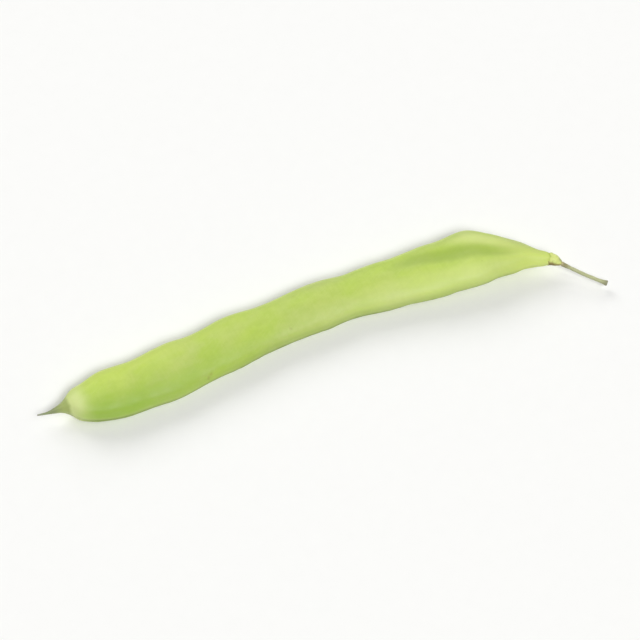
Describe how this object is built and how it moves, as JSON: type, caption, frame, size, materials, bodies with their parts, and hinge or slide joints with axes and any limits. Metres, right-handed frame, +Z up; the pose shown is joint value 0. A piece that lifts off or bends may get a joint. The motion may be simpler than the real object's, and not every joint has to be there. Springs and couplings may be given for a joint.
{
  "type": "flat green bean pod",
  "caption": "Flat green bean pod lying on its broad face, with a pointed beak, low seed swellings, seams along both edges, a withered calyx and a short stalk.",
  "frame": {"origin": "under the middle of the whole pod's box, on the surface that it rests on", "axes": "+X from the beak to the stem end, +Y towards the back seam, +Z up, through the two broad faces"},
  "size_m": [0.1612, 0.0278, 0.0091],
  "materials": {
    "pod_skin": "smooth satin vegetable skin, yellow-green, paler at the seams and greyish at the beak",
    "calyx": "withered, dull olive green with brown dry teeth",
    "stalk": "dull pale green with fine lengthwise ribs and a brown scar at its end"
  },
  "bodies": {
    "root": {"pod": "pod_skin", "calyx": "calyx", "stalk": "stalk"}
  },
  "joints": []
}
